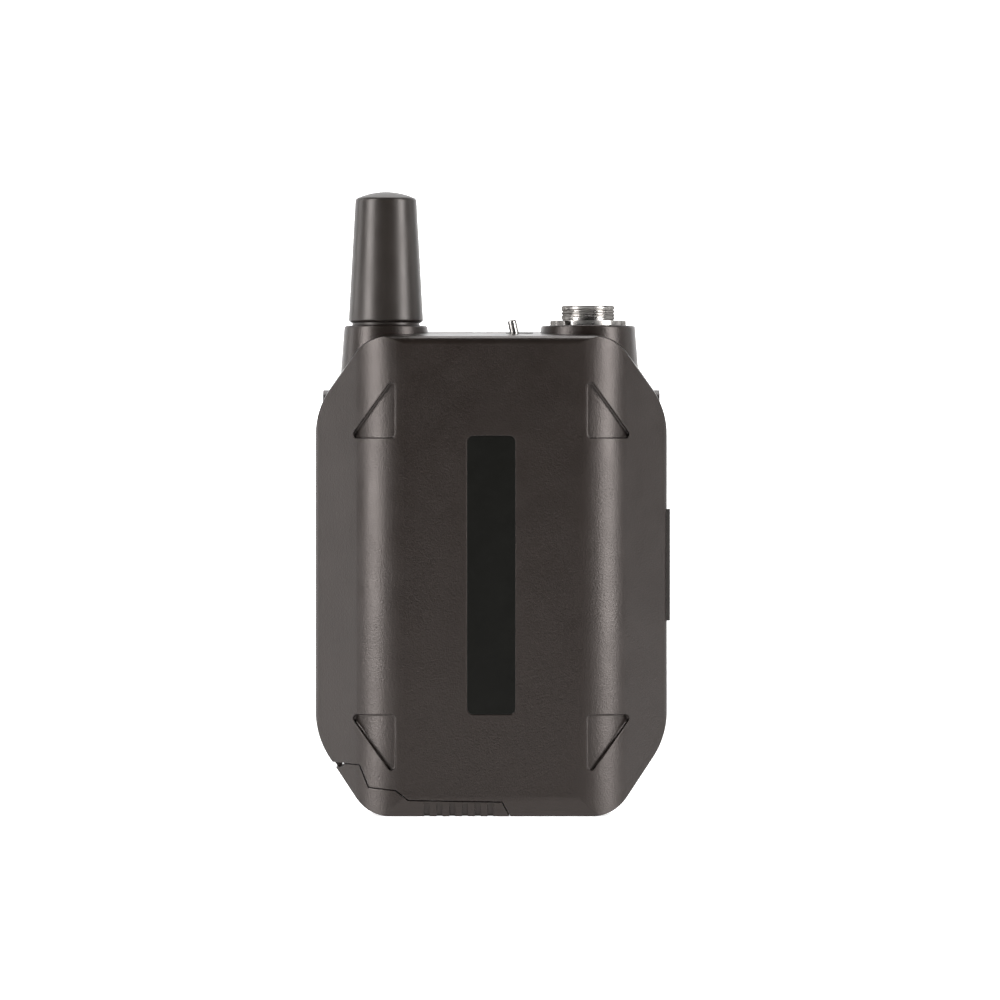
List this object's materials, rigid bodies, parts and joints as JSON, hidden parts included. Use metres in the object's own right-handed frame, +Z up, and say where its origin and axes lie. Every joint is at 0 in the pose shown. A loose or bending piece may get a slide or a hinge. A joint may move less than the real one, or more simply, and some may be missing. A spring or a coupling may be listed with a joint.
{
  "type": "wireless bodypack transmitter",
  "caption": "Belt-worn wireless bodypack transmitter: slab case with bevelled shoulders, stub antenna, threaded input socket, hinged battery door and belt clip",
  "frame": {"origin": "middle of the flat bottom of the case, on the standing face", "axes": "+X to the right seen from the front, +Y to the back where the belt clip is, +Z up along the antenna"},
  "size_m": [0.0656, 0.0288, 0.1151],
  "materials": {
    "case_coat": "fine matt powder coat, warm black",
    "stripe_black": "gloss",
    "antenna_black": "fine matt",
    "nickel": "nickel plate",
    "steel": "brushed",
    "black_plastic": "moulded",
    "insulator": "moulded",
    "gold": "gold plate",
    "spring_steel": "bright wire",
    "clip_black": "satin black",
    "board_green": "solder mask",
    "chip_black": "moulded",
    "cell_wrap": "printed film",
    "tray_grey": "moulded",
    "lens_clear": "clear light guide",
    "diode": "epoxy",
    "button_grey": "moulded",
    "screw_black": "black zinc",
    "copper": "bare wire",
    "latch_grey": "moulded"
  },
  "bodies": {
    "case": {"front_shell": "case_coat", "front_inlay": "stripe_black", "rear_shell": "case_coat", "door_hinge_pin": "steel", "battery_cells": "cell_wrap", "battery_tray": "tray_grey", "cell_contact": "nickel", "cell_spring": "spring_steel", "main_board": "board_green", "radio_shield": "steel", "board_chips": "chip_black", "board_screws": "steel", "status_diode": "diode", "status_lens": "lens_clear", "switch_body": "black_plastic", "switch_pin": "steel", "antenna_sheath": "antenna_black", "antenna_stud": "nickel", "antenna_collar": "antenna_black", "antenna_core": "tray_grey", "antenna_coil": "copper", "antenna_contact": "gold", "connector_barrel": "nickel", "connector_ring": "nickel", "connector_insulator": "insulator", "connector_pins": "gold", "pin_board": "board_green", "port_bezel": "black_plastic", "socket_shell": "steel", "socket_tongue": "black_plastic", "link_switch": "black_plastic", "clip_pins": "steel", "clip_springs": "spring_steel", "case_screws": "screw_black"},
    "door": {"battery_door": "case_coat", "door_contact": "nickel", "door_spring": "spring_steel"},
    "latch": {"door_latch": "latch_grey"},
    "clip": {"belt_clip": "clip_black"},
    "lever": {"power_lever": "nickel"},
    "button": {"link_button": "button_grey"}
  },
  "joints": [
    {"name": "power_lever", "type": "hinge", "parent": "case", "child": "lever", "pos_m": [0.0052, -0.0025, 0.0845], "axis": [0, 1, 0], "range_deg": [0, 24]},
    {"name": "battery_door", "type": "hinge", "parent": "case", "child": "door", "pos_m": [-0.0284, 0.002, 0.0104], "axis": [0, 1, 0], "range_deg": [0, 90]},
    {"name": "door_lock", "type": "slide", "parent": "door", "child": "latch", "axis": [1, 0, 0], "range_m": [0, 0.0025]},
    {"name": "belt_clip", "type": "hinge", "parent": "case", "child": "clip", "pos_m": [0, 0.0065, 0.0747], "axis": [1, 0, 0], "range_deg": [0, 20], "stiffness_Nm_per_rad": 0.6, "springref_deg": -5.73},
    {"name": "link_button", "type": "slide", "parent": "case", "child": "button", "axis": [-1, 0, 0], "range_m": [0, 0.00025], "stiffness_N_per_m": 400, "springref_m": -0.0005}
  ]
}
